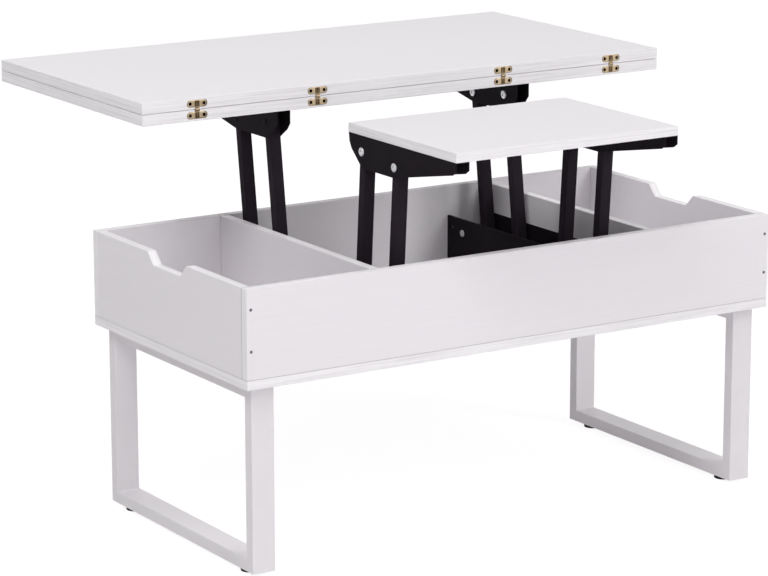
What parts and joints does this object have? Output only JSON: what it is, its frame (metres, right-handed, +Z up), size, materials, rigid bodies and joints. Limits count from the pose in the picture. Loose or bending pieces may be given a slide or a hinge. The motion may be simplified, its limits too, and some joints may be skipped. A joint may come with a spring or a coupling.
{
  "type": "convertible coffee dining table",
  "caption": "Low white box table whose folding top lifts back and opens forward to a dining table, with a smaller lift-up top, storage in the box and loop legs.",
  "frame": {"origin": "on the floor, midway between the four feet, which is under the middle of the box", "axes": "+Z up, +X along the table's length to the right seen from the front, -Y towards the front, where the small top stands"},
  "size_m": [1, 0.9447, 0.6964],
  "materials": {
    "white_melamine": "satin white melamine on chipboard",
    "white_powder_coat": "satin white powder coat",
    "black_powder_coat": "satin black powder coat",
    "zinc_plated_steel": "bright zinc",
    "yellow_brass": "satin brass",
    "black_plastic": "matt moulded",
    "black_rubber": "matt moulded",
    "blackened_steel": "black oxide",
    "beech_dowel": "plain turned beech"
  },
  "bodies": {
    "base": {"back_panel": "white_melamine", "bottom_panel": "white_melamine", "channel_screws": "zinc_plated_steel", "feet": "black_plastic", "front_panel": "white_melamine", "left_base_channel": "black_powder_coat", "left_base_pivot_pins": "zinc_plated_steel", "left_divider": "white_melamine", "left_leg_bottom_rail": "white_powder_coat", "left_leg_front_upright": "white_powder_coat", "left_leg_rear_upright": "white_powder_coat", "left_leg_top_rail": "white_powder_coat", "left_side_panel": "white_melamine", "left_spacer_sleeves": "black_plastic", "left_stop_studs": "zinc_plated_steel", "leg_screws": "zinc_plated_steel", "panel_dowels": "beech_dowel", "panel_screws": "zinc_plated_steel", "rest_buffers": "black_rubber", "right_base_channel": "black_powder_coat", "right_base_pivot_pins": "zinc_plated_steel", "right_divider": "white_melamine", "right_leg_bottom_rail": "white_powder_coat", "right_leg_front_upright": "white_powder_coat", "right_leg_rear_upright": "white_powder_coat", "right_leg_top_rail": "white_powder_coat", "right_side_panel": "white_melamine", "right_spacer_sleeves": "black_plastic", "right_stop_studs": "zinc_plated_steel"},
    "large_top": {"hinge_lower_plates": "yellow_brass", "hinge_lower_screws": "blackened_steel", "hinge_pins": "yellow_brass", "large_bracket_screws": "zinc_plated_steel", "left_large_bracket": "black_powder_coat", "left_large_bracket_rivets": "zinc_plated_steel", "lower_leaf": "white_melamine", "right_large_bracket": "black_powder_coat", "right_large_bracket_rivets": "zinc_plated_steel"},
    "upper_leaf": {"hinge_upper_plates": "yellow_brass", "hinge_upper_screws": "blackened_steel", "upper_leaf": "white_melamine"},
    "large_front_arms": {"left_large_front_arm": "black_powder_coat", "right_large_front_arm": "black_powder_coat"},
    "large_rear_arms": {"left_large_rear_arm": "black_powder_coat", "right_large_rear_arm": "black_powder_coat"},
    "small_top": {"left_small_bracket": "black_powder_coat", "left_small_bracket_rivets": "zinc_plated_steel", "right_small_bracket": "black_powder_coat", "right_small_bracket_rivets": "zinc_plated_steel", "small_bracket_screws": "zinc_plated_steel", "small_top": "white_melamine"},
    "small_front_arms": {"left_small_front_arm": "black_powder_coat", "right_small_front_arm": "black_powder_coat"},
    "small_rear_arms": {"left_small_rear_arm": "black_powder_coat", "right_small_rear_arm": "black_powder_coat"}
  },
  "joints": [
    {"name": "large_lift", "type": "hinge", "parent": "base", "child": "large_rear_arms", "pos_m": [0, 0.18, 0.332], "axis": [1, 0, 0], "range_deg": [0, 78.72]},
    {"name": "large_front_arm_swing", "type": "hinge", "parent": "base", "child": "large_front_arms", "pos_m": [0, 0.0855, 0.3415], "axis": [1, 0, 0], "range_deg": [0, 78.72]},
    {"name": "large_top_level", "type": "hinge", "parent": "large_rear_arms", "child": "large_top", "pos_m": [0, 0.21847, 0.62418], "axis": [1, 0, 0], "range_deg": [-78.72, 0]},
    {"name": "leaf_fold", "type": "hinge", "parent": "large_top", "child": "upper_leaf", "pos_m": [0, 0.06727, 0.67803], "axis": [1, 0, 0], "range_deg": [0, 180]},
    {"name": "small_rear_arm_swing", "type": "hinge", "parent": "base", "child": "small_rear_arms", "pos_m": [0, -0.0894, 0.3415], "axis": [1, 0, 0], "range_deg": [-77.88, 0]},
    {"name": "small_front_arm_swing", "type": "hinge", "parent": "base", "child": "small_front_arms", "pos_m": [0, -0.1839, 0.332], "axis": [1, 0, 0], "range_deg": [-77.88, 0]},
    {"name": "small_top_level", "type": "hinge", "parent": "small_rear_arms", "child": "small_top", "pos_m": [0, -0.10973, 0.61828], "axis": [1, 0, 0], "range_deg": [0, 77.88]}
  ],
  "couplings": [
    {"joint": "large_front_arm_swing", "follows": "large_lift", "ratio": 1},
    {"joint": "large_top_level", "follows": "large_lift", "ratio": -1},
    {"joint": "small_rear_arm_swing", "follows": "large_lift", "ratio": -0.98935},
    {"joint": "small_front_arm_swing", "follows": "large_lift", "ratio": -0.98935},
    {"joint": "small_top_level", "follows": "large_lift", "ratio": 0.98935}
  ]
}
